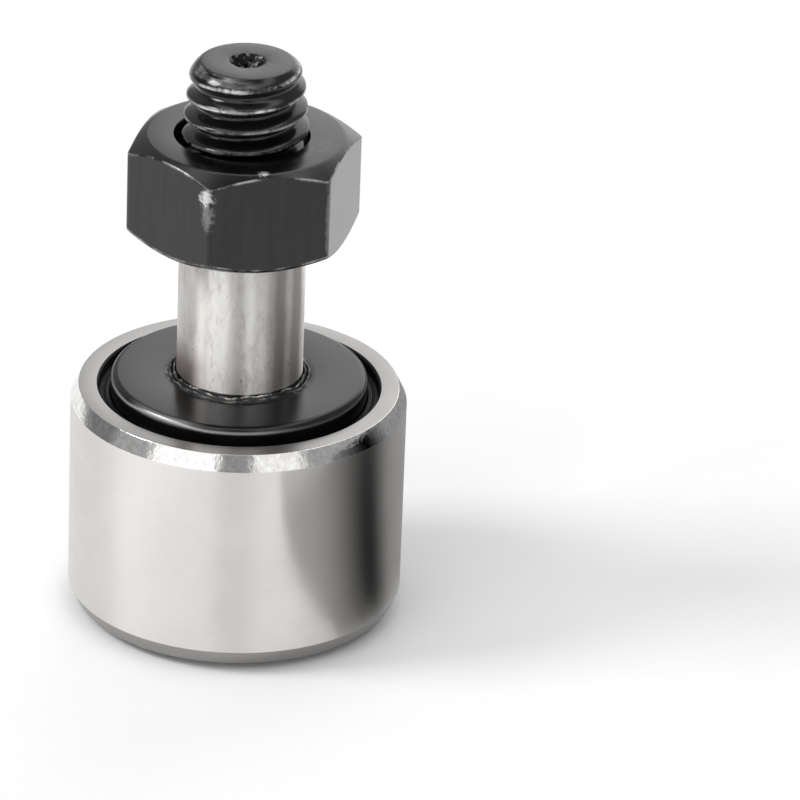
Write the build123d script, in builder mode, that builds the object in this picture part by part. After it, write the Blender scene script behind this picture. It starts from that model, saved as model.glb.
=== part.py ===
from build123d import *
from math import atan2, cos, degrees, pi, radians, sin, tan
import os

# Stud-type cam follower: a sealed needle roller on a stud, with the hex nut that clamps it.
# The origin is the centre of the shoulder face that a lever is clamped against.
# +Z runs up the stud, from its head to its threaded end. All sizes are in millimetres.

os.makedirs("parts", exist_ok=True)

# Main sizes
ROLLER_D = 16.0
RING_WIDTH = 11.0
RING_TOP_Z = -0.6  # the side plate stands proud of the ring by this much
HEAD_FACE_Z = -12.0  # the head stands proud of the ring at the other end
STUD_D = 6.0
STUD_END_Z = 16.0
SHANK_LENGTH = 7.4  # the ground seat for the lever
RING_BOTTOM_Z = RING_TOP_Z - RING_WIDTH

# Needle set
NEEDLE_COUNT = 14
NEEDLE_D = 1.5
NEEDLE_LENGTH = 7.0
NEEDLE_END_RADIUS = 0.35
NEEDLE_PLAY = 0.01  # radial clearance on each side of a needle
JOURNAL_R = 4.0
NEEDLE_PITCH_R = JOURNAL_R + NEEDLE_PLAY + NEEDLE_D / 2
RACEWAY_R = NEEDLE_PITCH_R + NEEDLE_D / 2 + NEEDLE_PLAY

# Head of the stud and side plate, the two discs that hold the ring in place
DISC_R = 6.1
HEAD_THICKNESS = 1.55
HEAD_BEVEL = 0.35
PLATE_THICKNESS = 1.65
PLATE_BEVEL_IN = 0.3
PLATE_BEVEL_DOWN = 0.35
HEAD_INNER_Z = HEAD_FACE_Z + HEAD_THICKNESS
PLATE_INNER_Z = -PLATE_THICKNESS
SEAT_R = 3.3  # the side plate is pressed onto this
PLATE_MOUTH_CHAMFER = 0.08

# Hex socket in the head and centre hole in the threaded end
SOCKET_ACROSS_FLATS = 4.0
SOCKET_DEPTH = 3.2
SOCKET_MOUTH_R = 2.35
SOCKET_MOUTH_DEPTH = 0.4
DRILL_POINT_ANGLE = 118.0
CENTRE_HOLE_MOUTH_R = 0.85
CENTRE_HOLE_PILOT_R = 0.4
CENTRE_HOLE_DEPTH = 1.9

# Thread, M6 x 1 right-hand
THREAD_LENGTH = 8.0
THREAD_PITCH = 1.0
THREAD_MAJOR_R = 2.98
THREAD_CREST_TAPER = 0.01  # the crests shrink by this much from the shank to the end taper
THREAD_DEPTH = 0.61
THREAD_FLANK_ANGLE = 30.0
THREAD_ROOT_FLAT = 0.16
THREAD_END_R = 2.35
THREAD_END_TAPER = 1.2
THREAD_START_Z = STUD_END_Z - THREAD_LENGTH
THREAD_ROOT_R = THREAD_MAJOR_R - THREAD_DEPTH
GROOVE_OVERRUN = 0.05  # the cutter reaches this far outside the crests
GROOVE_START_Z = THREAD_START_Z + 0.44  # where the groove first reaches its full depth
GROOVE_START_ANGLE = 54.0  # from +X
THREAD_TURNS = 8

# Outer ring
RING_END_RECESS_R = 6.675
RING_RECESS_DEPTH_TOP = 1.15
RING_RECESS_DEPTH_BOTTOM = 1.25
RING_CHAMFER_IN = 0.38
RING_CHAMFER_DOWN = 0.75
RING_MOUTH_CHAMFER = 0.1
RACEWAY_CHAMFER = 0.15
RACEWAY_TOP_Z = RING_TOP_Z - RING_RECESS_DEPTH_TOP
RACEWAY_BOTTOM_Z = RING_BOTTOM_Z + RING_RECESS_DEPTH_BOTTOM

# Seals, pressed into the ring's end recesses
SEAL_LIP_CLEARANCE = 0.04
SEAL_LIP_LENGTH = 0.35
SEAL_WAIST = 0.18  # the seal's inner side stands this much further back behind its lip
SEAL_TOP_RECESS = 0.45
SEAL_BOTTOM_RECESS = 0.12

# Needle cage
CAGE_INNER_R = 4.15
CAGE_OUTER_R = 5.35
CAGE_END_PLAY = 0.2
CAGE_EDGE_CHAMFER = 0.1
WINDOW_PLAY = 0.03
CAGE_TOP_Z = PLATE_INNER_Z - CAGE_END_PLAY
CAGE_BOTTOM_Z = HEAD_INNER_Z + CAGE_END_PLAY
CAGE_MIDDLE_Z = (CAGE_TOP_Z + CAGE_BOTTOM_Z) / 2

# Hex nut for a 10 mm spanner: its flats are as narrow as the standard allows
NUT_ACROSS_FLATS = 9.8
NUT_CORNER_R = 5.6
NUT_HEIGHT = 5.0
NUT_BOTTOM_Z = 7.3
NUT_BORE_R = 3.06  # clear of the thread crests, so the nut can travel
NUT_MOUTH_R = 3.4
NUT_CHAMFER_R = 4.65  # where the 30 degree corner chamfer meets the end face
NUT_CHAMFER_ANGLE = 30.0
NUT_TURN = -44.25  # angle of one corner from +X


def write(builder, name):
    """Label a finished piece and write it as one STEP file."""
    builder.part.label = name
    export_step(builder.part, f"parts/{name}.step")


# One turn of the helical V groove that cuts the stud's thread, and a turn on a cone that
# carries the groove out to nothing on the shank. Both are drawn with their ends at +X.
groove_half_root = THREAD_ROOT_FLAT / 2
groove_height = THREAD_DEPTH + GROOVE_OVERRUN
groove_half_mouth = groove_half_root + groove_height * tan(radians(THREAD_FLANK_ANGLE))
run_out_start_r = THREAD_MAJOR_R + GROOVE_OVERRUN
run_out_start_z = GROOVE_START_Z - THREAD_PITCH
run_out_angle = degrees(atan2(run_out_start_r - THREAD_ROOT_R, THREAD_PITCH))


def groove_section(root_r, z):
    """V groove section, in the plane of XZ, with its root at one radius and height."""
    with BuildSketch(Plane.XZ) as section:
        with BuildLine():
            Polyline(
                (root_r, z - groove_half_root),
                (root_r + groove_height, z - groove_half_mouth),
                (root_r + groove_height, z + groove_half_mouth),
                (root_r, z + groove_half_root),
                close=True,
            )
        make_face()
    return section.sketch


with BuildPart() as thread_turn:
    with BuildLine() as groove_path:
        Helix(THREAD_PITCH, THREAD_PITCH, THREAD_ROOT_R, (0, 0, GROOVE_START_Z))
    add(groove_section(THREAD_ROOT_R, GROOVE_START_Z))
    sweep(path=groove_path.line, is_frenet=True)

with BuildPart() as thread_run_out:
    with BuildLine() as run_out_path:
        Helix(
            THREAD_PITCH / cos(radians(run_out_angle)),
            THREAD_PITCH,
            run_out_start_r,
            (0, 0, run_out_start_z),
            cone_angle=-run_out_angle,
        )
    add(groove_section(run_out_start_r, run_out_start_z))
    sweep(path=run_out_path.line, is_frenet=True)

# Stud: head, journal, side plate seat, ground shank and threaded end, all one piece
with BuildPart() as stud:
    with BuildSketch(Plane.XZ):
        with BuildLine():
            Polyline(
                (0, HEAD_FACE_Z),
                (DISC_R - HEAD_BEVEL, HEAD_FACE_Z),
                (DISC_R, HEAD_FACE_Z + HEAD_BEVEL),
                (DISC_R, HEAD_INNER_Z),
                (JOURNAL_R, HEAD_INNER_Z),
                (JOURNAL_R, PLATE_INNER_Z),
                (SEAT_R, PLATE_INNER_Z),
                (SEAT_R, STUD_D / 2 - SEAT_R),
                (STUD_D / 2, 0),
                (STUD_D / 2, SHANK_LENGTH),
                (THREAD_MAJOR_R, SHANK_LENGTH),
                (THREAD_MAJOR_R - THREAD_CREST_TAPER, STUD_END_Z - THREAD_END_TAPER),
                (THREAD_END_R, STUD_END_Z),
                (0, STUD_END_Z),
                close=True,
            )
        make_face()
    revolve(axis=Axis.Z)

    # hex socket, its drilled bottom and its round countersunk mouth
    with BuildSketch(Plane.XY.offset(HEAD_FACE_Z)):
        RegularPolygon(SOCKET_ACROSS_FLATS / 2, 6, major_radius=False)
    extrude(amount=SOCKET_DEPTH, mode=Mode.SUBTRACT)
    socket_floor_z = HEAD_FACE_Z + SOCKET_DEPTH
    drill_r = SOCKET_ACROSS_FLATS / 2
    drill_point = drill_r / tan(radians(DRILL_POINT_ANGLE / 2))
    with BuildSketch(Plane.XZ):
        with BuildLine():
            Polyline(
                (0, socket_floor_z + drill_point),
                (drill_r, socket_floor_z),
                (SOCKET_MOUTH_R - SOCKET_MOUTH_DEPTH, HEAD_FACE_Z + SOCKET_MOUTH_DEPTH),
                (SOCKET_MOUTH_R, HEAD_FACE_Z),
                (0, HEAD_FACE_Z),
                close=True,
            )
        make_face()
    revolve(axis=Axis.Z, mode=Mode.SUBTRACT)

    # centre hole in the threaded end: a 60 degree cone, a pilot and a drill point
    cone_depth = (CENTRE_HOLE_MOUTH_R - CENTRE_HOLE_PILOT_R) / tan(radians(30))
    pilot_point = CENTRE_HOLE_PILOT_R / tan(radians(DRILL_POINT_ANGLE / 2))
    with BuildSketch(Plane.XZ):
        with BuildLine():
            Polyline(
                (0, STUD_END_Z),
                (CENTRE_HOLE_MOUTH_R, STUD_END_Z),
                (CENTRE_HOLE_PILOT_R, STUD_END_Z - cone_depth),
                (CENTRE_HOLE_PILOT_R, STUD_END_Z - CENTRE_HOLE_DEPTH),
                (0, STUD_END_Z - CENTRE_HOLE_DEPTH - pilot_point),
                close=True,
            )
        make_face()
    revolve(axis=Axis.Z, mode=Mode.SUBTRACT)

    for turn in range(THREAD_TURNS):
        with Locations(Location((0, 0, turn * THREAD_PITCH), (0, 0, GROOVE_START_ANGLE))):
            add(thread_turn.part, mode=Mode.SUBTRACT)
    with Locations(Location((0, 0, 0), (0, 0, GROOVE_START_ANGLE))):
        add(thread_run_out.part, mode=Mode.SUBTRACT)
write(stud, "stud")

# Side plate: the disc pressed onto the stud, whose outer face is the shoulder
with BuildPart() as side_plate:
    with BuildSketch(Plane.XZ):
        with BuildLine():
            Polyline(
                (SEAT_R, PLATE_INNER_Z),
                (DISC_R, PLATE_INNER_Z),
                (DISC_R, -PLATE_BEVEL_DOWN),
                (DISC_R - PLATE_BEVEL_IN, 0),
                (SEAT_R + PLATE_MOUTH_CHAMFER, 0),
                (SEAT_R, -PLATE_MOUTH_CHAMFER),
                close=True,
            )
        make_face()
    revolve(axis=Axis.Z)
write(side_plate, "side_plate")

# Outer ring: ground tread outside, needle raceway inside, a recess in each end face
with BuildPart() as outer_ring:
    with BuildSketch(Plane.XZ):
        with BuildLine():
            Polyline(
                (RACEWAY_R, RACEWAY_BOTTOM_Z),
                (RING_END_RECESS_R, RACEWAY_BOTTOM_Z),
                (RING_END_RECESS_R, RING_BOTTOM_Z + RING_MOUTH_CHAMFER),
                (RING_END_RECESS_R + RING_MOUTH_CHAMFER, RING_BOTTOM_Z),
                (ROLLER_D / 2 - RING_CHAMFER_IN, RING_BOTTOM_Z),
                (ROLLER_D / 2, RING_BOTTOM_Z + RING_CHAMFER_DOWN),
                (ROLLER_D / 2, RING_TOP_Z - RING_CHAMFER_DOWN),
                (ROLLER_D / 2 - RING_CHAMFER_IN, RING_TOP_Z),
                (RING_END_RECESS_R + RING_MOUTH_CHAMFER, RING_TOP_Z),
                (RING_END_RECESS_R, RING_TOP_Z - RING_MOUTH_CHAMFER),
                (RING_END_RECESS_R, RACEWAY_TOP_Z),
                (RACEWAY_R, RACEWAY_TOP_Z),
                close=True,
            )
        make_face()
    revolve(axis=Axis.Z)
    raceway_edges = outer_ring.edges().filter_by(GeomType.CIRCLE).sort_by(SortBy.RADIUS)[:2]
    chamfer(raceway_edges, RACEWAY_CHAMFER)
write(outer_ring, "outer_ring")


def seal_section(base_z, face_z):
    """Half section of a seal from its seat on the recess floor to its visible face.

    The lip runs beside the disc at the visible face, and the side behind it is set back.
    """
    lip_r = DISC_R + SEAL_LIP_CLEARANCE
    way = 1 if face_z > base_z else -1
    lip_back_z = face_z - way * SEAL_LIP_LENGTH
    with BuildSketch(Plane.XZ) as section:
        with BuildLine():
            Polyline(
                (lip_r + SEAL_WAIST, base_z),
                (RING_END_RECESS_R, base_z),
                (RING_END_RECESS_R, face_z),
                (lip_r, face_z),
                (lip_r, lip_back_z),
                (lip_r + SEAL_WAIST, lip_back_z - way * SEAL_WAIST),
                close=True,
            )
        make_face()
    return section.sketch


with BuildPart() as seal_stud_side:
    add(seal_section(RACEWAY_TOP_Z, RING_TOP_Z - SEAL_TOP_RECESS))
    revolve(axis=Axis.Z)
write(seal_stud_side, "seal_stud_side")

with BuildPart() as seal_head_side:
    add(seal_section(RACEWAY_BOTTOM_Z, RING_BOTTOM_Z + SEAL_BOTTOM_RECESS))
    revolve(axis=Axis.Z)
write(seal_head_side, "seal_head_side")

# Cage: a thin sleeve with one window for each needle
window_width = NEEDLE_D + 2 * WINDOW_PLAY
window_length = NEEDLE_LENGTH + 2 * WINDOW_PLAY

with BuildPart() as cage:
    with BuildSketch(Plane.XY.offset(CAGE_BOTTOM_Z)):
        Circle(CAGE_OUTER_R)
        Circle(CAGE_INNER_R, mode=Mode.SUBTRACT)
    extrude(amount=CAGE_TOP_Z - CAGE_BOTTOM_Z)
    chamfer(cage.edges().filter_by(GeomType.CIRCLE), CAGE_EDGE_CHAMFER)
    with BuildSketch(Plane.XY.offset(CAGE_MIDDLE_Z - window_length / 2)):
        with PolarLocations(NEEDLE_PITCH_R, NEEDLE_COUNT):
            Rectangle(2 * NEEDLE_D, window_width)
    extrude(amount=window_length, mode=Mode.SUBTRACT)
write(cage, "cage")

# Needles: one piece each, with rounded ends, numbered round the cage from +X
needle_bottom_z = CAGE_MIDDLE_Z - NEEDLE_LENGTH / 2
for index in range(NEEDLE_COUNT):
    angle = 2 * pi * index / NEEDLE_COUNT
    needle_x = NEEDLE_PITCH_R * cos(angle)
    needle_y = NEEDLE_PITCH_R * sin(angle)
    with BuildPart() as needle:
        with BuildSketch(Plane((needle_x, needle_y, needle_bottom_z))):
            Circle(NEEDLE_D / 2)
        extrude(amount=NEEDLE_LENGTH)
        fillet(needle.edges().filter_by(GeomType.CIRCLE), NEEDLE_END_RADIUS)
    write(needle, f"needle_{index + 1:02d}")

# Hex nut: a hexagon trimmed by a turned blank, so the corners carry the usual chamfer arcs
nut_top_z = NUT_BOTTOM_Z + NUT_HEIGHT
chamfer_drop = (NUT_CORNER_R - NUT_CHAMFER_R) * tan(radians(NUT_CHAMFER_ANGLE))
mouth_depth = NUT_MOUTH_R - NUT_BORE_R

with BuildPart() as hex_nut:
    with BuildSketch(Plane.XZ):
        with BuildLine():
            Polyline(
                (NUT_BORE_R, NUT_BOTTOM_Z + mouth_depth),
                (NUT_MOUTH_R, NUT_BOTTOM_Z),
                (NUT_CHAMFER_R, NUT_BOTTOM_Z),
                (NUT_CORNER_R, NUT_BOTTOM_Z + chamfer_drop),
                (NUT_CORNER_R, nut_top_z - chamfer_drop),
                (NUT_CHAMFER_R, nut_top_z),
                (NUT_MOUTH_R, nut_top_z),
                (NUT_BORE_R, nut_top_z - mouth_depth),
                close=True,
            )
        make_face()
    revolve(axis=Axis.Z)
    with BuildSketch(Plane.XY.offset(NUT_BOTTOM_Z)):
        RegularPolygon(NUT_ACROSS_FLATS / 2, 6, major_radius=False, rotation=NUT_TURN)
    extrude(amount=NUT_HEIGHT, mode=Mode.INTERSECT)
write(hex_nut, "hex_nut")
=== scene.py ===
"""A stud-type cam follower in a studio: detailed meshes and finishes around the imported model."""

import math

import bmesh
import bpy
from mathutils import Matrix, Vector


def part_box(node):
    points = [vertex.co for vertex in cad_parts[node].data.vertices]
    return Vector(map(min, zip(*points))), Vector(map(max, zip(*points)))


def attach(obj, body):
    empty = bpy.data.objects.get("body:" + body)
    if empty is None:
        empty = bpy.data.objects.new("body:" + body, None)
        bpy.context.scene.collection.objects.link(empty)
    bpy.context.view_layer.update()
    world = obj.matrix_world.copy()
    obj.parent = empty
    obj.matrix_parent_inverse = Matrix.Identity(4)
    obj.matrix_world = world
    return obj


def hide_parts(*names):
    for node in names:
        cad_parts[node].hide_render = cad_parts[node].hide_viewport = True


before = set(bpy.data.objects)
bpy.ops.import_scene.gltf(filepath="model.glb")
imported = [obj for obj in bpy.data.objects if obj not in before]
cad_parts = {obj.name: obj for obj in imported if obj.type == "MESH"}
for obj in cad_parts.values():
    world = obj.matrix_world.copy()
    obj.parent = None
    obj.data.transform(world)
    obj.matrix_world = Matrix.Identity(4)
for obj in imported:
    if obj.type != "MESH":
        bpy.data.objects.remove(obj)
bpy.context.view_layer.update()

MM = 0.001  # meshes are shaped in millimetres and scaled to metres at the end
TURN = 2 * math.pi
WEAR_AND_HIGHLIGHT = "wear"  # vertex attribute that the black finishes read: wear, and on the plate's rim a painted highlight

# ---------------------------------------------------------------- sizes, in millimetres


def size_of(node):
    """Outer radius, lowest and highest height of a CAD node."""
    low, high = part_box(node)
    return high[0] / MM, low[2] / MM, high[2] / MM


RING_R, RING_BOTTOM, RING_TOP = size_of("outer_ring")
DISC_R, PLATE_INNER, SHOULDER = size_of("side_plate")
SEAL_R, STUD_SEAL_BASE, STUD_SEAL_FACE = size_of("seal_stud_side")
_, HEAD_SEAL_FACE, HEAD_SEAL_BASE = size_of("seal_head_side")
_, HEAD_FACE, STUD_END = size_of("stud")
_, NUT_BOTTOM, NUT_TOP = size_of("hex_nut")

SHANK_R = 3.0
SEAT_R = 3.3
JOURNAL_R = 4.0
HEAD_THICKNESS = 1.55
RACEWAY_R = 5.52
PITCH = 1.0
THREAD_R, THREAD_DEPTH = 2.97, 0.6
TAPER_FROM, TAPER = 12.8, 0.11  # above this height the crests shrink, by this much per millimetre
BLACK_FROM = 7.1  # height where the bright shank ends and the black thread begins
CRESTS_FROM = 7.5  # height where the crests have come down from the shank to the thread's radius
GROOVE_AT_X = 8.29  # height where the stud's groove first passes +X at full depth
NUT_FLATS_R = 4.9
NUT_CORNER_R = 5.6
NUT_BORE_R = 3.02
NUT_TURN = math.radians(-44.25)
END_R, END_SLOPE = 2.17, 1.3  # the stud's end face, and how its taper widens below it

# ---------------------------------------------------------------- mesh tools


def number(value, angle):
    """A radius or height that is either fixed or a function of the angle round the axis."""
    return value(angle) if callable(value) else value


def new_mesh():
    """An empty mesh whose vertices carry a value from 0 to 1: how worn they are, and on the plate's
    rim a painted highlight.
    """
    bm = bmesh.new()
    bm.verts.layers.float.new(WEAR_AND_HIGHLIGHT)
    return bm


def add_vertex(bm, angle, radius, height, wear=0.0):
    """A vertex at an angle round the axis."""
    vertex = bm.verts.new((radius * math.cos(angle), radius * math.sin(angle), height))
    vertex[bm.verts.layers.float[WEAR_AND_HIGHLIGHT]] = wear
    return vertex


def add_loop(bm, angles, radius, height, wear=0.0):
    """One closed loop of vertices round the axis."""
    return [add_vertex(bm, a, number(radius, a), number(height, a), number(wear, a)) for a in angles]


def add_face(bm, corners, surface):
    """A smooth face with a surface's material."""
    face = bm.faces.new(corners)
    face.material_index = surface
    face.smooth = True


def skin(bm, first, second, surface):
    """A band of quads between two loops of the same count."""
    count = len(first)
    for i in range(count):
        j = (i + 1) % count
        add_face(bm, (first[i], first[j], second[j], second[i]), surface)


def cap(bm, loop, height, surface):
    """Closes a loop with a fan to a point on the axis."""
    tip = bm.verts.new((0, 0, height))
    count = len(loop)
    for i in range(count):
        add_face(bm, (loop[i], loop[(i + 1) % count], tip), surface)


def rounded(corners, closed):
    """Rows of (radius, height, surface) along a profile whose corners are rounded.

    Each corner is (radius, height, fillet, surface), and its surface runs on to the next corner.
    """
    arc_steps = 5
    rows = []
    count = len(corners)
    for i, (r, z, fillet, surface) in enumerate(corners):
        at_end = not closed and i in (0, count - 1)
        if fillet == 0 or at_end:
            rows.append((r, z, surface))
            continue
        here = Vector((r, z))
        before = Vector(corners[i - 1][:2]) - here
        after = Vector(corners[(i + 1) % count][:2]) - here
        opening = before.angle(after)
        cut = min(fillet / math.tan(opening / 2), 0.45 * before.length, 0.45 * after.length)
        radius = cut * math.tan(opening / 2)
        before.normalize()
        after.normalize()
        centre = here + (before + after).normalized() * (radius / math.sin(opening / 2))
        start = here + before * cut - centre
        sweep = start.angle_signed(here + after * cut - centre)
        for step in range(arc_steps + 1):
            point = centre + Matrix.Rotation(-sweep * step / arc_steps, 2) @ start
            rows.append((point.x, point.y, surface))
    return rows


def run_rows(bm, angles, loop, rows, surface):
    """Skins from a loop through further rows, and gives back the last loop.

    A row is (radius, height, surface from there on), with how worn it is as a fourth value; on the
    plate's rim that value is a painted highlight.
    """
    for radius, height, next_surface, *wear in rows:
        following = add_loop(bm, angles, radius, height, *wear)
        skin(bm, loop, following, surface)
        loop = following
        surface = next_surface
    return loop


def even_angles(count):
    """Angles spaced evenly round the axis, from +X."""
    return [TURN * i / count for i in range(count)]


def turned_ring(rows, count):
    """A closed ring of revolution from a closed profile."""
    bm = new_mesh()
    angles = even_angles(count)
    first = add_loop(bm, angles, rows[0][0], rows[0][1])
    last = run_rows(bm, angles, first, rows[1:], rows[0][2])
    skin(bm, last, first, rows[-1][2])
    return bm


def angle_of(vertex):
    """A vertex's angle round the axis, from 0 to a full turn."""
    return math.atan2(vertex.co.y, vertex.co.x) % TURN


def angles_of(loop):
    """The angles of a loop's vertices."""
    return [angle_of(vertex) for vertex in loop]


def helical_band(angles, low, high, radius_at, wear_at, surface):
    """A new mesh: a band round the axis whose rows climb with the thread, cut flat at both ends.

    Gives back the mesh and its lower and upper loops, in order of angle.
    """
    rows_per_turn = 24
    same_height = 1e-5  # vertices this close to a cut count as on it
    start = low - PITCH * (1 + 1 / rows_per_turn)  # a turn and a row lower, so the seam is whole
    row_count = math.ceil((high - start) / PITCH * rows_per_turn) + 1
    bm = new_mesh()
    columns = []
    for angle in angles:
        column = []
        for row in range(row_count + 1):
            z = start + PITCH * (row / rows_per_turn + angle / TURN)
            column.append(add_vertex(bm, angle, radius_at(angle, z), z, wear_at(angle, z)))
        columns.append(column)
    seam = (columns[-1], columns[0][rows_per_turn:])
    for column, following in [*zip(columns, columns[1:]), seam]:
        for row in range(len(following) - 1):
            corners = (column[row], following[row], following[row + 1], column[row + 1])
            add_face(bm, corners, surface)
    loops = []
    for height, way in ((low, -1), (high, 1)):
        cut = bmesh.ops.bisect_plane(
            bm,
            geom=bm.verts[:] + bm.edges[:] + bm.faces[:],
            dist=same_height,
            plane_co=(0, 0, height),
            plane_no=(0, 0, way),
            clear_outer=True,
        )
        loop = [item for item in cut["geom_cut"] if isinstance(item, bmesh.types.BMVert)]
        loops.append(sorted(loop, key=angle_of))
    loose = [vertex for vertex in bm.verts if not vertex.link_faces]
    bmesh.ops.delete(bm, geom=loose, context="VERTS")
    return bm, *loops


def join_loops(bm, lower, upper, surface):
    """Joins two loops with different counts by a band of triangles, walking round both."""

    def next_angle(loop, i):
        """The angle of the vertex after this one, counted on past a full turn."""
        return angle_of(loop[(i + 1) % len(loop)]) + (TURN if i + 1 >= len(loop) else 0)

    a, b = sorted(lower, key=angle_of), sorted(upper, key=angle_of)
    i = j = 0
    while i < len(a) or j < len(b):
        here_a, here_b = a[i % len(a)], b[j % len(b)]
        if j >= len(b) or (i < len(a) and next_angle(a, i) <= next_angle(b, j)):
            i += 1
            add_face(bm, (here_a, a[i % len(a)], here_b), surface)
        else:
            j += 1
            add_face(bm, (here_a, b[j % len(b)], here_b), surface)


def finish_piece(bm, name, materials, body, node):
    """Turns a shaped mesh into a scene piece that stands for a CAD node."""
    sharp_from = math.radians(32)
    bmesh.ops.recalc_face_normals(bm, faces=bm.faces)
    bm.transform(Matrix.Scale(MM, 4))
    mesh = bpy.data.meshes.new(name)
    bm.to_mesh(mesh)
    bm.free()
    for material in materials:
        mesh.materials.append(material)
    mesh.set_sharp_from_angle(angle=sharp_from)
    piece = bpy.data.objects.new(name, mesh)
    bpy.context.scene.collection.objects.link(piece)
    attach(piece, body)
    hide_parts(node)
    return piece


def smooth_step(t):
    """0 up to 0 and 1 from 1 on, with a smooth step between."""
    t = min(max(t, 0.0), 1.0)
    return t * t * (3 - 2 * t)


def soft_min(a, b, blend):
    """The smaller of two values, rounded where they cross."""
    h = min(max(0.5 + 0.5 * (b - a) / blend, 0.0), 1.0)
    return b + (a - b) * h - blend * h * (1 - h)


def wave(angle, terms):
    """An irregular closed wave round the axis: a sum of (cycles, size, phase) sines."""
    return sum(size * math.sin(cycles * angle + phase) for cycles, size, phase in terms)


# ---------------------------------------------------------------- material tools


class Nodes:
    """A node tree under construction. Inputs may be numbers, tuples or other nodes' sockets."""

    def __init__(self, tree):
        """Starts from an empty tree."""
        self.tree = tree
        self.tree.nodes.clear()

    def node(self, kind, settings=None, inputs=None):
        """A new node with its properties set and its inputs fed."""
        made = self.tree.nodes.new(kind)
        for key, value in (settings or {}).items():
            setattr(made, key, value)
        for key, value in (inputs or {}).items():
            self.feed(made.inputs[key], value)
        return made

    def feed(self, socket, value):
        """Links an input to another node's socket, or sets its value."""
        if isinstance(value, bpy.types.NodeSocket):
            self.tree.links.new(value, socket)
        else:
            socket.default_value = value

    def math(self, operation, a, b=0.0, c=0.0):
        """The result of one operation on numbers."""
        return self.node("ShaderNodeMath", {"operation": operation}, {0: a, 1: b, 2: c}).outputs[0]

    def add(self, a, b):
        """The sum of two numbers."""
        return self.math("ADD", a, b)

    def times(self, a, b):
        """The product of two numbers."""
        return self.math("MULTIPLY", a, b)

    def vector_math(self, operation, inputs):
        """The result of one operation on vectors."""
        return self.node("ShaderNodeVectorMath", {"operation": operation}, inputs).outputs[0]

    def parts(self, vector):
        """The x, y and z of a vector."""
        return self.node("ShaderNodeSeparateXYZ", inputs={0: vector}).outputs

    def place(self):
        """Position in the piece's own frame, in millimetres."""
        coordinates = self.node("ShaderNodeTexCoord").outputs["Object"]
        return self.vector_math("SCALE", {0: coordinates, "Scale": 1 / MM})

    def from_axis(self, x, y):
        """Distance from the Z axis."""
        return self.math("SQRT", self.add(self.times(x, x), self.times(y, y)))

    def toward(self, x, y, azimuth):
        """How far out a place lies in the direction of an azimuth, in degrees from +X."""
        a = math.radians(azimuth)
        return self.add(self.times(x, math.cos(a)), self.times(y, math.sin(a)))

    def turned(self, across, around):
        """Coordinates for marks that run round the axis: fine across them, slow along them."""
        x, y, z = self.parts(self.place())
        r = self.from_axis(x, y)
        safe_r = self.math("MAXIMUM", r, 0.01)
        unit_x = self.times(self.math("DIVIDE", x, safe_r), around)
        unit_y = self.times(self.math("DIVIDE", y, safe_r), around)
        inputs = {0: unit_x, 1: unit_y, 2: self.times(self.add(z, r), across)}
        return self.node("ShaderNodeCombineXYZ", inputs=inputs).outputs[0]

    def along(self, across, lengthwise):
        """Coordinates for marks that run along the axis: fine across them, slow along them."""
        return self.vector_math("MULTIPLY", {0: self.place(), 1: (across, across, lengthwise)})

    def noise(self, vector, scale=1.0, detail=2.0, rough=0.5):
        """Cloudy noise, about 0.5 on average."""
        inputs = {"Vector": vector, "Scale": scale, "Detail": detail, "Roughness": rough}
        return self.node("ShaderNodeTexNoise", inputs=inputs).outputs[0]

    def spread(self, value, from_low, from_high, to_low, to_high):
        """Maps one range onto another and holds it at its ends."""
        inputs = {0: value, 1: from_low, 2: from_high, 3: to_low, 4: to_high}
        return self.node("ShaderNodeMapRange", {"clamp": True}, inputs).outputs[0]

    def smooth(self, value, start, end):
        """0 before start and 1 after end, with a smooth step between."""
        inputs = {0: value, 1: start, 2: end, 3: 0.0, 4: 1.0}
        settings = {"clamp": True, "interpolation_type": "SMOOTHSTEP"}
        return self.node("ShaderNodeMapRange", settings, inputs).outputs[0]

    def fall(self, value, start, end):
        """1 before start and 0 after end, with a smooth step between."""
        return self.math("SUBTRACT", 1.0, self.smooth(value, start, end))

    def mix(self, share, first, second):
        """A colour between two colours."""
        inputs = {0: share, 6: first, 7: second}  # sockets of the share and the two colours
        return self.node("ShaderNodeMix", {"data_type": "RGBA"}, inputs).outputs[2]

    def bump(self, height, depth_mm, strength=1.0):
        """A surface normal that follows a height."""
        inputs = {"Height": height, "Distance": depth_mm * MM, "Strength": strength}
        return self.node("ShaderNodeBump", inputs=inputs).outputs[0]

    def near(self, centre, radius, tall):
        """1 at a point and 0 past a ragged edge round it, in millimetres, stretched along Z."""
        place = self.parts(self.place())
        x, y, z = (self.math("SUBTRACT", value, middle) for value, middle in zip(place, centre))
        z = self.math("DIVIDE", z, tall)
        flat = self.add(self.times(x, x), self.times(y, y))
        distance = self.math("SQRT", self.add(flat, self.times(z, z)))
        ragged = self.spread(self.noise(self.place(), 4.0, 4.0, 0.6), 0.3, 0.7, -0.4, 0.4)
        reach = self.add(distance, self.times(ragged, radius))
        return self.fall(reach, radius * 0.2, radius)

    def reflection_band(self, azimuth, half):
        """1 along a painted reflection band up the axis at an azimuth, 0 beside it, with a wandering
        edge.
        """
        soft = 3.5  # degrees
        sway = 0.03  # radians
        x, y, z = self.parts(self.place())
        column = self.node("ShaderNodeCombineXYZ", inputs={0: azimuth, 2: z}).outputs[0]
        wander = self.spread(self.noise(column, 0.35, 3.0), 0.2, 0.8, -sway, sway)
        away = self.math("SUBTRACT", self.math("ARCTAN2", y, x), math.radians(azimuth))
        away = self.math("WRAP", away, math.pi, -math.pi)
        away = self.math("ABSOLUTE", self.add(away, wander))
        return self.fall(away, math.radians(half - soft), math.radians(half + soft))

    def blend(self, share, first, second):
        """A number between two numbers."""
        return self.add(first, self.times(share, self.math("SUBTRACT", second, first)))


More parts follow.
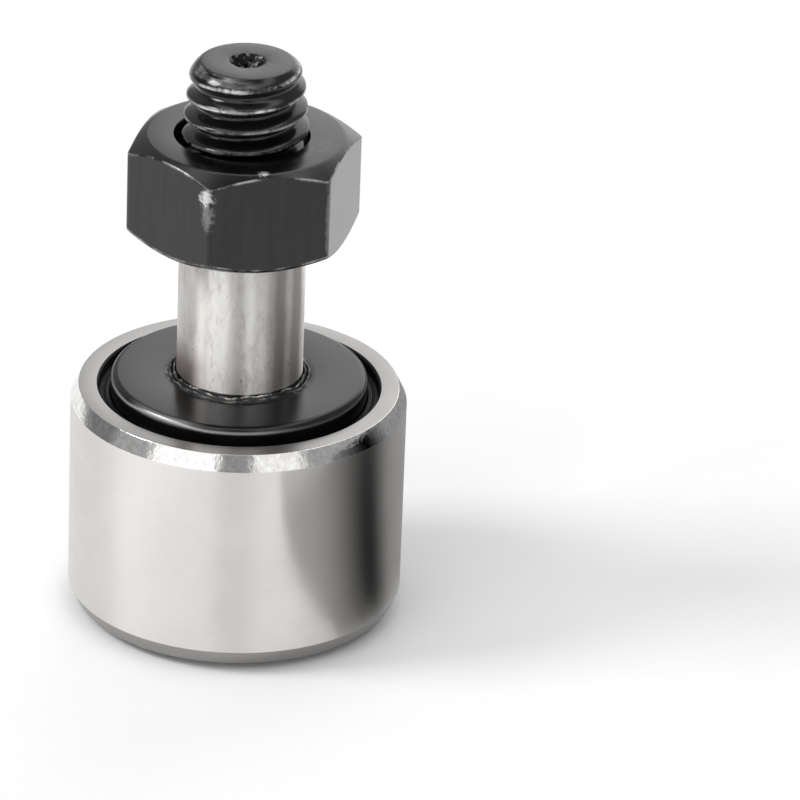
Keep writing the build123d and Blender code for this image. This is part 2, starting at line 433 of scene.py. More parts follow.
class Finish(Nodes):
    """A surface material."""

    def __init__(self, name):
        """A new material with a surface that is still plain."""
        self.material = bpy.data.materials.new(name)
        self.material.use_nodes = True
        super().__init__(self.material.node_tree)
        self.surface = self.node("ShaderNodeBsdfPrincipled")
        output = self.node("ShaderNodeOutputMaterial")
        self.tree.links.new(self.surface.outputs[0], output.inputs[0])

    def set(self, **inputs):
        """Feeds the surface's inputs and gives back the material."""
        for key, value in inputs.items():
            self.feed(self.surface.inputs[key.replace("_", " ")], value)
        return self.material


def grey(level, warmth=0.0):
    """A near-neutral colour, warmer or cooler by a small share."""
    return (level * (1 + warmth), level, level * (1 - warmth), 1.0)


# ---------------------------------------------------------------- materials


def foot_shade_and_grime(s, tone, level):
    """Brown painted shade at the shank's foot, a painted shadow in its crevice, faint grime higher
    up, pits and turning rings.
    """
    x, y, z = s.parts(s.place())
    wander = s.noise(s.place(), 0.9, 4.0, 0.7)
    # Painted shade: brown darkening low on the left of the shank's foot.
    low = s.fall(s.add(z, wander), 1.4, 3.0)
    left_foot_shade = s.times(low, s.smooth(s.add(s.toward(x, y, -168), wander), 2.3, 3.1))
    shade_brown = (level * 0.42, level * 0.35, level * 0.31, 1.0)
    tone = s.mix(s.times(left_foot_shade, 0.85), tone, shade_brown)
    grime = s.smooth(s.noise(s.along(1.9, 0.8), 1.0, 5.0, 0.8), 0.44, 0.68)
    pale_brown = (level * 0.6, level * 0.54, level * 0.5, 1.0)
    tone = s.mix(s.times(grime, 0.5), tone, pale_brown)
    # Painted shadow: a near-black line round the shank in the crevice above the plate's lip.
    ragged = s.add(z, s.times(s.noise(s.place(), 2.5, 3.0), 0.16))
    crevice_shadow = s.fall(ragged, 0.27, 0.33)
    tone = s.mix(s.times(crevice_shadow, 0.95), tone, grey(level * 0.02, 0.2))
    pits = s.smooth(s.noise(s.place(), 3.2, 2.0, 0.5), 0.7, 0.76)
    tone = s.mix(s.times(pits, 0.6), tone, grey(level * 0.3))
    rings = s.smooth(s.noise(s.turned(5.0, 0.4), 1.0, 2.0, 0.5), 0.55, 0.7)
    below_nut = s.smooth(z, NUT_BOTTOM - 1.0, NUT_BOTTOM)
    return s.mix(s.times(rings, s.times(below_nut, 0.5)), tone, grey(level * 0.5))


def ground_steel(name, level, rough, stretch, grain, clouding=0.06, streaks=(), shade_and_grime=False):
    """Ground bright steel with marks round the axis and reflections drawn out across them.

    Streaks are painted reflection bands up the axis: (azimuth, half width, tone), in degrees.
    """
    s = Finish(name)
    lines = s.noise(s.turned(grain, 3.0), 1.0, 4.0, 0.65)
    clouds = s.noise(s.place(), 0.45, 3.0)
    low, high = grey(level * (1 - clouding), 0.024), grey(level, 0.02)
    tone = s.mix(s.spread(clouds, 0.3, 0.7, 0, 1), low, high)
    tone = s.mix(s.spread(lines, 0.5, 0.75, 0.0, 0.3), tone, grey(level * 0.82, 0.03))
    # Painted reflections: lighter and darker bands up the shank at fixed azimuths.
    for azimuth, half, share in streaks:
        band = s.reflection_band(azimuth, half)
        tone = s.mix(band, tone, grey(level * share, 0.01 if share > 1 else 0.035))
    # Painted shade at the shank's foot and in its crevice, with grime, pits and turning rings.
    if shade_and_grime:
        tone = foot_shade_and_grime(s, tone, level)
    tangent = s.node("ShaderNodeTangent", {"direction_type": "RADIAL", "axis": "Z"}).outputs[0]
    return s.set(
        Base_Color=tone,
        Metallic=1.0,
        Roughness=s.spread(lines, 0.3, 0.7, rough * 0.9, rough * 1.1),
        Anisotropic=stretch,
        Anisotropic_Rotation=0.25,
        Tangent=tangent,
        Normal=s.bump(lines, 0.0012),
    )


def polished_edge():
    """The ring's corner chamfer: mirror bright, with the fine waviness the wheel left."""
    s = Finish("polished_edge")
    waves = s.noise(s.place(), 3.6, 4.0, 0.6)
    tone = s.mix(s.spread(waves, 0.35, 0.65, 0, 1), grey(0.66, 0.02), grey(0.86, 0.006))
    return s.set(
        Base_Color=tone,
        Metallic=1.0,
        Roughness=s.spread(waves, 0.3, 0.7, 0.04, 0.1),
        Normal=s.bump(waves, 0.01),
    )


def oxide(
    name,
    level,
    rough,
    speckle,
    grain,
    worn=0.0,
    patch=1.6,
    gaps=0.54,
    ior=1.48,
    warmth=0.01,
    extras=None,
    drawn=0.0,
):
    """Black oxide on steel: dark, a soft sheen, faint speckle, fine tool marks, bright wear and
    painted highlights.

    Worn sets how much of the edges' oxide is gone, patch how short the worn stretches are, and
    gaps how far apart.
    Extras adds more bare metal: it takes the finish and gives back a share from 0 to 1.
    Drawn is how strongly the sheen varies in the streaks that drawing the bar left along Z.
    """
    s = Finish(name)
    marks = s.noise(s.turned(grain, 4.0), 1.0, 3.0, 0.6)
    grit = s.noise(s.place(), 9.0, 3.0, 0.6)
    clouds = s.noise(s.place(), 0.8, 2.0)
    tone = s.mix(s.spread(clouds, 0.3, 0.7, 0, 1), grey(level * 0.7), grey(level * 1.3))
    tone = s.mix(s.spread(grit, 0.66, 0.78, 0, speckle), tone, grey(0.12))
    both = s.add(marks, grit)
    wear = s.node("ShaderNodeAttribute", {"attribute_name": WEAR_AND_HIGHLIGHT}).outputs["Fac"]
    patches = s.smooth(s.noise(s.place(), patch, 4.0, 0.7), gaps - 0.12, gaps + 0.12)
    bare = s.times(s.times(wear, patches), worn)
    if extras:
        bare = s.math("MAXIMUM", bare, extras(s))
    bare = s.math("MINIMUM", bare, 1.0)
    streaks = s.noise(s.along(3.5, 0.2), 1.0, 3.0, 0.6)
    return s.set(
        Base_Color=s.mix(bare, tone, grey(0.62, warmth)),
        Metallic=s.times(bare, 0.75),
        Roughness=s.blend(bare, s.spread(both, 0.7, 1.3, rough * 0.85, rough * 1.2), 0.33),
        Specular_IOR_Level=s.spread(streaks, 0.32, 0.68, 0.5 - drawn, 0.5 + drawn),
        IOR=ior,
        Normal=s.bump(both, 0.003, 0.6),
    )


def taper_highlight(s):
    """Painted highlight: bare-metal streaks on one side of the stud's end taper, and on two crests
    beside it.
    """
    x, y, z = s.parts(s.place())
    # Painted highlight: bare-metal streaks on one side of the taper.
    side = s.smooth(s.toward(x, y, -136), 1.0, 2.3)
    above = s.smooth(z, STUD_END - 0.4, STUD_END - 0.3)
    streaks = s.smooth(s.noise(s.turned(11.0, 1.2), 1.0, 3.0, 0.7), 0.46, 0.66)
    painted_highlight = s.times(s.times(s.times(side, above), streaks), 0.36)
    # Painted highlight on two crests.
    for crest, share in (((-0.4, -2.5, 15.48), 0.8), ((-0.45, -2.75, 14.5), 0.5)):
        painted_highlight = s.math("MAXIMUM", painted_highlight, s.times(s.near(crest, 1.1, 0.12), share))
    return painted_highlight


def nut_nicks_and_highlight(s):
    """Marks that bared the nut's metal, mostly on its front corner and top edge, and a painted
    highlight on its top face.
    """
    # Cloudy mask for the painted highlight on the top face.
    smeared_highlight = s.smooth(s.noise(s.place(), 2.2, 4.0, 0.7), 0.4, 0.7)
    marks = [  # place, radius, stretch along Z, share that is bare
        ((-1.57, -5.24, 11.3), 0.5, 1.1, 1.0),  # knocked corner
        ((-1.5, -5.3, 10.5), 0.44, 2.2, 0.24),  # scrape below it
        ((1.0, -4.47, 12.3), 0.3, 1.0, 1.0),  # nick in the top edge
        ((3.5, -1.1, 12.3), 1.2, 1.0, s.times(smeared_highlight, 0.12)),  # painted highlight smeared over the top face
        ((4.02, -3.92, 9.8), 0.16, 16.0, 0.16),  # whole height of the next corner
    ]
    bare = 0.0
    for centre, radius, tall, share in marks:
        bare = s.math("MAXIMUM", bare, s.times(s.near(centre, radius, tall), share))
    return bare


def hole_grit(s):
    """Bright grains in the rough turning centre."""
    return s.times(s.smooth(s.noise(s.place(), 3.6, 3.0, 0.6), 0.52, 0.64), 0.35)


def rubber():
    """Black seal rubber with a fine grain."""
    s = Finish("seal_rubber")
    grit = s.noise(s.place(), 14.0, 3.0)
    return s.set(
        Base_Color=s.mix(grit, grey(0.003), grey(0.007)),
        Roughness=s.spread(grit, 0.3, 0.7, 0.36, 0.52),
        Specular_IOR_Level=0.12,
        Normal=s.bump(grit, 0.006, 0.6),
    )


SHANK_REFLECTION_BANDS = [  # painted reflection bands: azimuth, half width, tone
    (-128, 8, 0.8),
    (-109, 9, 1.2),
    (-82, 5, 1.15),
    (-50, 6, 0.6),
    (-28, 8, 0.55),
    (20, 9, 0.8),
    (75, 12, 1.1),
    (130, 10, 0.85),
]
TREAD = ground_steel("ground_tread", 0.735, 0.36, 0.9, 24.0)
RING_FACE = ground_steel("ground_face", 0.39, 0.3, 0.5, 18.0)
# Darker, duller steel for the ring's lower chamfer: painted shade.
EDGE_WITH_PAINTED_SHADE = ground_steel("edge_with_painted_shade", 0.36, 0.4, 0.2, 10.0)
# Bright shank steel with painted reflection bands, and painted shade at its foot.
BRIGHT = ground_steel("bright_shank", 0.75, 0.4, 0.98, 20.0, 0.12, SHANK_REFLECTION_BANDS, shade_and_grime=True)
RACE = ground_steel("lapped_race", 0.7, 0.15, 0.4, 30.0)
EDGE = polished_edge()
# The nut's extras are its nicks and a painted highlight on its top face.
BLACK = oxide(
    "black_oxide",
    0.0025,
    0.22,
    0.25,
    10.0,
    worn=0.6,
    patch=0.9,
    ior=1.5,
    extras=nut_nicks_and_highlight,
    drawn=0.035,
)
# The thread's extras are a painted highlight on the end taper and two crests.
THREAD = oxide("black_thread", 0.003, 0.15, 0.3, 6.0, worn=1.2, patch=0.7, extras=taper_highlight)
# Lighter black oxide for the stud's up-facing end face: painted light.
END_PAINTED_LIGHT = oxide("stud_end_painted_light", 0.017, 0.26, 0.2, 8.0)
HOLE = oxide("centre_hole", 0.002, 0.45, 0.4, 5.0, ior=1.25, extras=hole_grit)
# The plate's wear attribute is a painted highlight round its rim.
DARK = oxide("dark_plate", 0.004, 0.2, 0.15, 16.0, worn=1.0, patch=0.7, gaps=0.3, ior=1.46)
LIP = oxide("plate_lip", 0.002, 0.3, 0.3, 6.0, worn=1.6, patch=1.8, warmth=0.05)
RUBBER = rubber()
CAGE = ground_steel("pressed_cage", 0.5, 0.4, 0.2, 6.0)
# Dark finish for the ring's seal recesses: painted shade.
RECESS_PAINTED_SHADE = oxide("painted_shade_recess", 0.004, 0.35, 0.1, 14.0, ior=1.3)

# ---------------------------------------------------------------- pieces


def outer_ring():
    """Ring with a ground tread, polished corner chamfers, ground faces and the needle raceway."""
    tread, face, edge, race, edge_with_painted_shade, recess_shade = range(6)
    opening = SEAL_R
    chamfer_in, chamfer_down = 0.38, 0.75
    inner_edge = 0.1
    top_floor, bottom_floor = STUD_SEAL_BASE, HEAD_SEAL_BASE
    # The recess walls and floors get the dark finish: painted shade.
    corners = [
        (RACEWAY_R, bottom_floor, 0.15, race),
        (RACEWAY_R, top_floor, 0.15, recess_shade),
        (opening, top_floor, 0.04, recess_shade),
        (opening, RING_TOP - inner_edge, 0.03, recess_shade),
        (opening + inner_edge, RING_TOP, 0.03, face),
        (RING_R - chamfer_in, RING_TOP, 0.04, edge),
        (RING_R, RING_TOP - chamfer_down, 0.05, tread),
        # The lower chamfer gets the darker, duller steel: painted shade.
        (RING_R, RING_BOTTOM + chamfer_down, 0.05, edge_with_painted_shade),
        (RING_R - chamfer_in, RING_BOTTOM, 0.04, face),
        (opening + inner_edge, RING_BOTTOM, 0.03, recess_shade),
        (opening, RING_BOTTOM + inner_edge, 0.03, recess_shade),
        (opening, bottom_floor, 0.04, recess_shade),
    ]
    bm = turned_ring(rounded(corners, closed=True), 256)
    materials = [TREAD, RING_FACE, EDGE, RACE, EDGE_WITH_PAINTED_SHADE, RECESS_PAINTED_SHADE]
    return finish_piece(bm, "ground_ring", materials, "roller", "outer_ring")


def side_plate():
    """Plate with a rounded rim and the irregular lip that was rolled against the shank."""
    flat, lip = 0, 1
    rim_r, rim_steps = 0.33, 10
    edge_chamfer = 0.08
    lip_outer_r = 3.62
    ridge_wave = [(5, 0.05, 0.87), (9, 0.025, 2.1), (17, 0.02, 1.2), (31, 0.012, 0.7)]
    sway_wave = [(4, 0.012, 1.9), (11, 0.012, 0.3), (23, 0.008, 2.6)]

    def ridge(base):
        """A height that goes up and down round the lip."""
        return lambda angle: base + wave(angle, ridge_wave)

    def sway(base):
        """A radius that goes in and out round the lip."""
        return lambda angle: base + wave(angle, sway_wave)

    def rim_highlight(rise):
        """Painted highlight round the rim at a rise: a bright line low down, and more of it at the
        front left.
        """
        painted_highlight = math.radians(-125)  # angle where the painted highlight is strongest

        def wear(angle):
            """How strong the rim's painted highlight is at an angle."""
            away = abs((angle - painted_highlight + math.pi) % TURN - math.pi)
            left = smooth_step((0.42 - away) / 0.3)
            front = 0.25 + 0.75 * smooth_step((1.1 - away) / 0.4)
            line_rise = 0.17 + 0.35 * left
            line = smooth_step((0.3 - abs(rise - line_rise)) / 0.3)
            shine = smooth_step((0.8 - abs(rise - 0.65)) / 0.4)
            return 0.55 * front * line + 0.2 * left * shine

        return wear

    bm = new_mesh()
    angles = even_angles(288)
    outline = [
        (DISC_R - edge_chamfer, PLATE_INNER, flat),
        (DISC_R, PLATE_INNER + edge_chamfer, flat),
        (DISC_R, SHOULDER - rim_r - 0.06, flat),
    ]
    # The rim's rows carry a painted highlight in the wear attribute.
    for step in range(rim_steps + 1):
        rise = math.radians(90 * step / rim_steps)
        radius = DISC_R - rim_r * (1 - math.cos(rise))
        outline.append((radius, SHOULDER - rim_r * (1 - math.sin(rise)), flat, rim_highlight(rise)))
    outline.append((lip_outer_r, SHOULDER, flat))
    first = add_loop(bm, angles, SEAT_R, PLATE_INNER)
    loop = run_rows(bm, angles, first, outline, flat)
    lip_rows = [  # a groove, two ragged ridges and the crack beside the shank
        (sway(3.42), -0.02, lip),
        (sway(3.37), ridge(0.02), lip),
        (sway(3.33), ridge(0.07), lip, 0.15),
        (sway(3.29), ridge(0.08), lip, 0.35),
        (sway(3.25), ridge(0.03), lip),
        (sway(3.22), ridge(-0.01), lip),
        (sway(3.18), ridge(0.06), lip),
        (sway(3.15), ridge(0.12), lip, 0.15),
        (sway(3.11), ridge(0.17), lip, 1.0),
        (sway(3.08), ridge(0.165), lip, 0.5),
        (sway(3.04), 0.04, lip),
        (3.03, -0.05, lip),
        (SEAT_R, -0.3, flat),
    ]
    loop = run_rows(bm, angles, loop, lip_rows, lip)
    skin(bm, loop, first, flat)
    return finish_piece(bm, "plate_disc", [DARK, LIP], "stud", "side_plate")


def seal(name, node, base, face):
    """Moulded seal ring with a lip beside the disc and a shallow groove in its visible face."""
    way = 1 if face > base else -1
    lip_r = DISC_R + 0.04
    waist = 0.18
    lip_length = 0.35
    groove = 0.05
    corners = [
        (lip_r + waist, base, 0.03, 0),
        (SEAL_R, base, 0.03, 0),
        (SEAL_R, face, 0.05, 0),
        (lip_r + 0.62 * (SEAL_R - lip_r), face, 0.03, 0),
        (lip_r + 0.5 * (SEAL_R - lip_r), face - way * groove, 0.03, 0),
        (lip_r + 0.38 * (SEAL_R - lip_r), face, 0.03, 0),
        (lip_r, face, 0.05, 0),
        (lip_r, face - way * lip_length, 0.03, 0),
        (lip_r + waist, face - way * (lip_length + waist), 0.03, 0),
    ]
    bm = turned_ring(rounded(corners, closed=True), 192)
    return finish_piece(bm, name, [RUBBER], "roller", node)


def thread_shape(distance, depth):
    """How far a thread's surface stands below its crest, at a distance from a groove's centre."""
    root_half = 0.05
    crest_half = 0.05
    sharp, round_off = 0.3, 0.7  # shares of a straight flank and of an S-shaped one
    t = (abs(distance) - root_half) / (PITCH / 2 - crest_half - root_half)
    climb = sharp * min(max(t, 0.0), 1.0) + round_off * smooth_step(t)
    return depth * (1 - climb)


def nearest_groove(angle, z):
    """Height of the stud's groove at an angle, on the turn nearest to a height."""
    groove = GROOVE_AT_X + PITCH * angle / TURN
    return groove + PITCH * round((z - groove) / PITCH)


def stud_radius(angle, z):
    """Radius of the threaded end: a helical groove that fades out at both ends, and a taper."""
    groove = nearest_groove(angle, z)
    run_out = smooth_step((groove - (GROOVE_AT_X - PITCH)) / PITCH)
    run_out *= smooth_step((STUD_END + 0.1 - groove) / 0.8)
    shrunk = TAPER * max(z - TAPER_FROM, 0)
    depth = THREAD_DEPTH - 4.0 * shrunk**2  # the groove gets shallower as the crests shrink
    crest = THREAD_R - shrunk + (SHANK_R - THREAD_R) * smooth_step((CRESTS_FROM - z) / 0.2)
    r = crest - thread_shape(z - groove, depth * run_out)
    return soft_min(r, END_R + (STUD_END - z) * END_SLOPE, 0.3)


def crest_wear(angle, z):
    """Bright wear along the stud's thread crests, stronger towards its end."""
    crest_from, crest_edge = 0.41, 0.07  # distance from the groove's centre
    on_crest = smooth_step((abs(z - nearest_groove(angle, z)) - crest_from) / crest_edge)
    near_end = smooth_step((z - 13.2) / 1.6)
    return on_crest * (0.3 + 0.7 * near_end)


def hexagon(flats_r, turn):
    """Radius of a hexagon with a corner at an angle."""
    sector = TURN / 6

    def radius(angle):
        """Distance from the axis to the side at an angle."""
        from_flat = (angle - turn) % sector - sector / 2
        return flats_r / math.cos(from_flat)

    return radius


def stud():
    """The stud in one piece: head with hex socket, journal, seat, bright shank and black thread."""
    head, race, shank, thread, end, hole = range(6)
    thread_top = STUD_END - 0.03
    bm, low, high = helical_band(
        even_angles(180), BLACK_FROM, thread_top, stud_radius, crest_wear, thread
    )

    angles = angles_of(high)
    hole_r, pilot_r, cone_depth, hole_depth, hole_point = 0.85, 0.4, 0.78, 1.9, 0.24
    ragged = [(1, 0.55, -0.1), (3, 0.5, 0.5), (7, 0.4, 2.0), (11, 0.3, 1.1)]

    def rough(base, size):
        """A radius that goes in and out round the hole."""
        return lambda angle: base + size * wave(angle, ragged)

    end_rows = [
        (END_R - 0.01, STUD_END - 0.008, end),
        (END_R - 0.06, STUD_END, end),
        (1.6, STUD_END, end),
        (hole_r + 0.12, STUD_END, end),
        (rough(hole_r + 0.02, 0.04), STUD_END - 0.012, hole),
        (rough(hole_r - 0.03, 0.05), STUD_END - 0.05, hole),
        (rough(0.7, 0.09), STUD_END - 0.2, hole),
        (rough(0.6, -0.09), STUD_END - 0.4, hole),
        (rough(0.5, 0.07), STUD_END - 0.6, hole),
        (pilot_r, STUD_END - cone_depth, hole),
        (pilot_r, STUD_END - hole_depth, hole),
    ]
    loop = run_rows(bm, angles, high, end_rows, end)
    cap(bm, loop, STUD_END - hole_depth - hole_point, hole)

    angles = angles_of(low)
    head_inner = HEAD_FACE + HEAD_THICKNESS
    head_chamfer = 0.35
    socket_flats_r = 2.0
    socket = hexagon(socket_flats_r, 0)
    mouth_r, socket_depth, drill_point = 2.35, 3.2, 1.2
    socket_floor = HEAD_FACE + socket_depth
    body_rows = rounded(
        [
            (SHANK_R, BLACK_FROM, 0, shank),
            (SHANK_R, 0.0, 0.05, shank),
            (SEAT_R, SHANK_R - SEAT_R, 0.05, race),
            (SEAT_R, PLATE_INNER, 0.05, race),
            (JOURNAL_R, PLATE_INNER, 0.1, race),
            (JOURNAL_R, head_inner, 0.1, race),
            (DISC_R, head_inner, 0.05, head),
            (DISC_R, HEAD_FACE + head_chamfer, 0.12, head),
            (DISC_R - head_chamfer, HEAD_FACE, 0.15, head),
            (mouth_r, HEAD_FACE, 0.04, head),
            (mouth_r - 0.02, HEAD_FACE + 0.02, 0, head),
        ],
        closed=False,
    )
    socket_rows = [
        (socket, lambda a: HEAD_FACE + mouth_r - socket(a), head),
        (socket, socket_floor, head),
        (socket_flats_r - 0.05, socket_floor, head),
    ]
    loop = run_rows(bm, angles, low, body_rows[1:] + socket_rows, shank)
    cap(bm, loop, socket_floor + drill_point, head)
    materials = [BLACK, RACE, BRIGHT, THREAD, END_PAINTED_LIGHT, HOLE]
    return finish_piece(bm, "stud_body", materials, "stud", "stud")


def nut_angles():
    """Angles round the nut, closer together at its corners."""
    sector = TURN / 6
    offsets = [-26, -24, -21, -18, -14, -10, -5, 0, 5, 10, 14, 18, 21, 24, 26]
    offsets += [side * (27 + 0.25 * i) for i in range(12) for side in (-1, 1)] + [30]
    angles = {
        round((NUT_TURN + sector * (k + 0.5) + math.radians(offset)) % TURN, 9)
        for k in range(6)
        for offset in offsets
    }
    return sorted(angles)


def nut_outline(angle):
    """Radius of the nut's six sides with their worn corners."""
    return soft_min(hexagon(NUT_FLATS_R, NUT_TURN)(angle), NUT_CORNER_R + 0.02, 0.09)


def nut_mouth(angle):
    """Radius of the nut's countersink, which is a little off the bore's centre, towards -X."""
    mouth_r, off_centre = 3.19, 0.17
    return max(mouth_r - off_centre * math.cos(angle), NUT_BORE_R + 0.02)


def nut_bore(angle, z):
    """Radius inside the nut: thread ridges that fade out at both ends, and the countersinks."""
    ridge_depth = 0.52
    mouth_slope = 0.4
    lead_in, lead_out = 1.25, 0.5  # plain bore below the first thread turn and above the last
    crest = nearest_groove(angle, z)
    fade = smooth_step((crest - NUT_BOTTOM - lead_in) / PITCH)
    fade *= smooth_step((NUT_TOP - lead_out - crest) / 0.5)
    ridge = thread_shape(z - crest, ridge_depth) * fade
    from_end = min(NUT_TOP - z, z - NUT_BOTTOM)
    return max(NUT_BORE_R - ridge, nut_mouth(angle) - mouth_slope * from_end)


def nut_end_rows(end, way, edge, wears):
    """Rows from one end's mouth out across its face and down its chamfer arcs to the sides.

    Way is 1 at the top and -1 at the bottom. Edge is how far the worn edge below the chamfer
    reaches, and wears are how worn its three rows are.
    """
    outside = 0
    chamfer_r = 4.65
    slope = math.tan(math.radians(30))

    def chamfer_z(angle, inwards):
        """Height of the chamfer at a distance in from the side."""
        return end - way * (nut_outline(angle) - inwards - chamfer_r) * slope

    def on_chamfer(inwards):
        """Radius and height of the chamfer at a distance in from the side."""
        return (lambda a: nut_outline(a) - inwards), (lambda a: chamfer_z(a, inwards))

    def on_side(depth):
        """Radius and height of the side at a depth below the chamfer."""
        return nut_outline, (lambda a: chamfer_z(a, 0) - way * depth)

    return [
        (lambda a: nut_mouth(a) + 0.03, end, outside),
        (chamfer_r - 0.08, end, outside),
        (chamfer_r, end - way * 0.012, outside),
        (chamfer_r + 0.1, end - way * (0.1 * slope + 0.002), outside),
        (*on_chamfer(2.2 * edge), outside),
        (*on_chamfer(edge), outside, wears[0]),
        (on_chamfer(0.3 * edge)[0], on_side(0.1 * edge)[1], outside, wears[1]),
        (*on_side(edge), outside, wears[2]),
        (*on_side(edge + 0.065), outside),
        (*on_side(0.6), outside),
    ]


def hex_nut():
    """Hex nut: rounded corners, chamfer arcs on both ends, countersunk mouths, internal thread."""
    outside, inside = 0, 1
    bm, low, high = helical_band(
        nut_angles(), NUT_BOTTOM, NUT_TOP, nut_bore, lambda angle, z: 0, inside
    )
    top_rows = nut_end_rows(NUT_TOP, 1, 0.035, (1.0, 1.0, 0.6))
    bottom_rows = nut_end_rows(NUT_BOTTOM, -1, 0.1, (0, 0, 1.0))
    upper = run_rows(bm, angles_of(high), high, top_rows, outside)
    lower = run_rows(bm, angles_of(low), low, bottom_rows, outside)
    join_loops(bm, lower, upper, outside)
    return finish_piece(bm, "nut_body", [BLACK, THREAD], "hex_nut", "hex_nut")


def dress_cad_nodes():
    """Cage and needles keep their CAD shape and get their finish."""
    for name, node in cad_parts.items():
        if node.hide_render:
            continue
        node.data.materials.clear()
        node.data.materials.append(CAGE if name == "cage" else RACE)


# ---------------------------------------------------------------- studio


def studio_floor():
    """Pale floor that the follower's head stands on."""
    half = 1.5
    z = HEAD_FACE * MM
    mesh = bpy.data.meshes.new("floor")
    corners = [(-half, -half, z), (half, -half, z), (half, half, z), (-half, half, z)]
    mesh.from_pydata(corners, [], [(0, 1, 2, 3)])
    s = Finish("pale_floor")
    speck = s.noise(s.place(), 0.3, 2.0)
    tone = s.mix(speck, grey(0.9), grey(0.92))
    mesh.materials.append(s.set(Base_Color=tone, Roughness=0.8, Specular_IOR_Level=0.1))
    floor = bpy.data.objects.new("floor", mesh)
    bpy.context.scene.collection.objects.link(floor)


def studio_surroundings():
    """White tent with soft boxes, and the dark gaps between them that give bright metal its bands.

    Azimuths are in degrees from +X towards +Y. The camera looks along +Y.
    """
    tent, overhead, zenith = 1.5, 1.9, 0.25
    bands = [  # azimuth of the middle, half width, soft edge, brightness
        (-206, 54, 8, 0.42),
        (-194, 11, 7, 0.22),
        (-127, 19, 4, 1.35),
        (-89, 10, 5, 0.34),
        (-58, 15, 5, 1.1),
        (4, 42, 8, 0.4),
    ]
    low, high, top_edge = 0.0, 52.0, 12.0  # elevations that the bands cover
    zenith_from, zenith_full = 66.0, 74.0

    def height_of(elevation):
        """Height of a direction of unit length at an elevation."""
        return math.sin(math.radians(elevation))

    world = bpy.data.worlds.new("studio")
    bpy.context.scene.world = world
    world.use_nodes = True
    s = Nodes(world.node_tree)
    x, y, z = s.parts(s.node("ShaderNodeTexCoord").outputs["Generated"])
    flat = s.math("MAXIMUM", s.from_axis(x, y), 0.001)
    side = s.math("GREATER_THAN", z, height_of(low))
    level = tent
    for azimuth, half, soft, brightness in bands:
        aligned = s.math("DIVIDE", s.toward(x, y, azimuth), flat)
        outer, inner = math.radians(half + soft), math.radians(half)
        inside = s.smooth(aligned, math.cos(outer), math.cos(inner))
        level = s.blend(s.times(inside, side), level, brightness)
    below_top = s.smooth(z, height_of(high + top_edge), height_of(high))
    level = s.blend(below_top, overhead, level)
    at_zenith = s.smooth(z, height_of(zenith_from), height_of(zenith_full))
    level = s.blend(at_zenith, level, zenith)
    background = s.node("ShaderNodeBackground", inputs={"Color": (1, 1, 1, 1), "Strength": level})
    output = s.node("ShaderNodeOutputWorld")
    s.tree.links.new(background.outputs[0], output.inputs[0])


def card(name, vertices, faces, shade_of):
    """A card that only glossy surfaces see: it shapes their reflections and lights nothing."""
    mesh = bpy.data.meshes.new(name)
    mesh.from_pydata([(x * MM, y * MM, z * MM) for x, y, z in vertices], [], faces)
    s = Finish(name)
    shade = shade_of(s)
    colour = s.node("ShaderNodeCombineColor", inputs={0: shade, 1: shade, 2: shade}).outputs[0]
    glow = s.set(
        Base_Color=grey(0.0),
        Specular_IOR_Level=0.0,
        Emission_Color=colour,
        Emission_Strength=1.0,
    )
    mesh.materials.append(glow)
    made = bpy.data.objects.new(name, mesh)
    bpy.context.scene.collection.objects.link(made)
    made.visible_camera = False
    made.visible_diffuse = False
    made.visible_shadow = False


def dark_card():
    """Curved card standing close beside the roller, for the dark band down its right side."""
    low_radius, high_radius, low = 9.3, 12.5, HEAD_FACE + 0.2
    near_top, far_top = -2.6, 0.8  # heights of its top edge, in front and on the right
    step_from, step_width = -50, 10  # azimuths over which the top edge rises
    left_top, left_bottom, bend = -68.5, -40.5, 2.6  # its slanted, bowed left edge
    right = 62.0
    slices, rows = 48, 12
    vertices, faces = [], []
    for i in range(slices + 1):
        for j in range(rows + 1):
            down = j / rows
            left = left_top + (left_bottom - left_top) * down**bend
            azimuth = left + (right - left) * i / slices
            top = near_top + (far_top - near_top) * smooth_step((azimuth - step_from) / step_width)
            radius = high_radius + (low_radius - high_radius) * down
            a = math.radians(azimuth)
            vertices.append((radius * math.cos(a), radius * math.sin(a), top + (low - top) * down))
    for i in range(slices):
        for j in range(rows):
            corner = i * (rows + 1) + j
            faces.append((corner, corner + 1, corner + rows + 2, corner + rows + 1))

    def shade(s):
        """Grey at both ends and black at an azimuth between them."""
        black_at = math.radians(-20)
        x, y, z = s.parts(s.place())
        around = s.math("ARCTAN2", y, x)
        falling = s.fall(around, math.radians(-56), black_at)
        rising = s.smooth(around, black_at, 0.0)
        return s.add(s.times(falling, 0.4), s.times(rising, 0.32))

    card("dark_card", vertices, faces, shade)


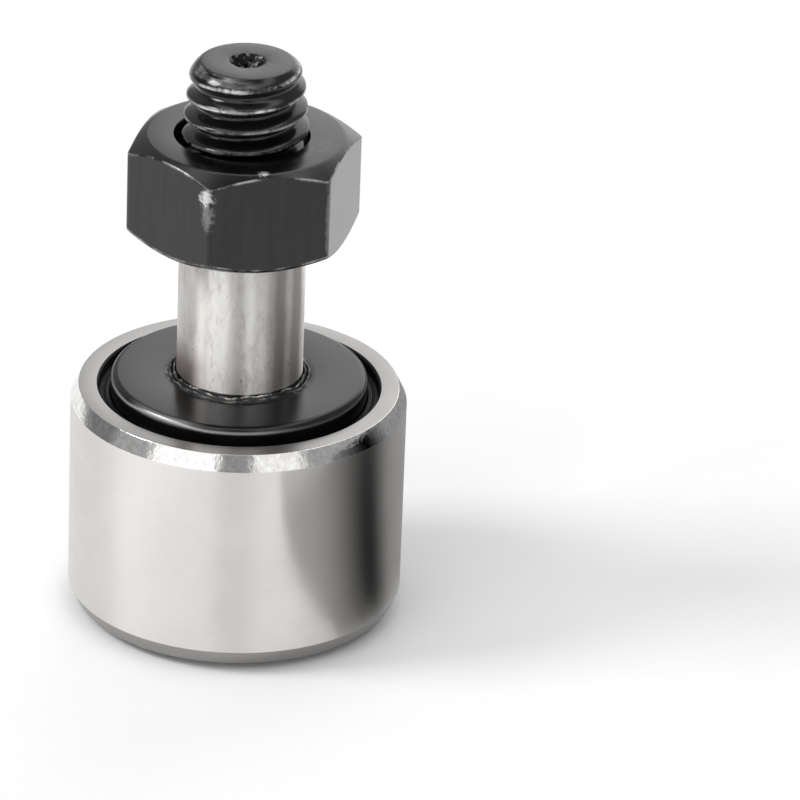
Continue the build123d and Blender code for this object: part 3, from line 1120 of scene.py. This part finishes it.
def bright_card():
    """Bright card lying behind the object on the right, for the sheen on the nut's right side."""
    near, far, z = 20, 90, HEAD_FACE + 0.1
    vertices = []
    for radius, azimuth in ((near, 35), (far, 40), (far, 75), (near, 80)):
        a = math.radians(azimuth)
        vertices.append((radius * math.cos(a), radius * math.sin(a), z))

    def shade(s):
        """White with faint clouds."""
        return s.spread(s.noise(s.place(), 0.02), 0, 1, 1.4, 1.6)

    card("bright_card", vertices, [(0, 1, 2, 3)], shade)


def key_light():
    """Soft box high on the left."""
    azimuth, elevation, distance = math.radians(-172), math.radians(41), 0.5  # metres
    light = bpy.data.lights.new("key", "AREA")
    light.shape = "SQUARE"
    light.size = 0.16
    light.energy = 1.1
    lamp = bpy.data.objects.new("key", light)
    outwards = math.cos(elevation)
    direction = Vector(
        (math.cos(azimuth) * outwards, math.sin(azimuth) * outwards, math.sin(elevation))
    )
    lamp.location = direction * distance
    lamp.rotation_euler = direction.to_track_quat("Z", "Y").to_euler()
    bpy.context.scene.collection.objects.link(lamp)


def camera():
    """Long lens looking down by about 26 degrees, with the follower left of centre."""
    elevation, roll = math.radians(26.11), math.radians(2.26)
    distance, aside, above = 280.12, 7.62, 1.35  # from the shoulder's centre, along the view's axes
    forward = Vector((0, math.cos(elevation), -math.sin(elevation)))
    level_right = Vector((1, 0, 0))
    level_up = level_right.cross(forward)
    right = level_right * math.cos(roll) + level_up * math.sin(roll)
    up = right.cross(forward)
    data = bpy.data.cameras.new("camera")
    data.sensor_width = 36.0
    data.lens = 265.57
    data.clip_start = 0.01
    view = bpy.data.objects.new("camera", data)
    place = (right * aside + up * -above - forward * distance) * MM
    axes = Matrix((right, up, -forward)).transposed().to_4x4()
    view.matrix_world = Matrix.Translation(place) @ axes
    bpy.context.scene.collection.objects.link(view)
    bpy.context.scene.camera = view


camera()
studio_floor()
studio_surroundings()
key_light()
dark_card()
bright_card()
bpy.context.scene.view_settings.view_transform = "Standard"

outer_ring()
side_plate()
seal("lip_seal_stud_side", "seal_stud_side", STUD_SEAL_BASE, STUD_SEAL_FACE)
seal("lip_seal_head_side", "seal_head_side", HEAD_SEAL_BASE, HEAD_SEAL_FACE)
stud()
hex_nut()
dress_cad_nodes()
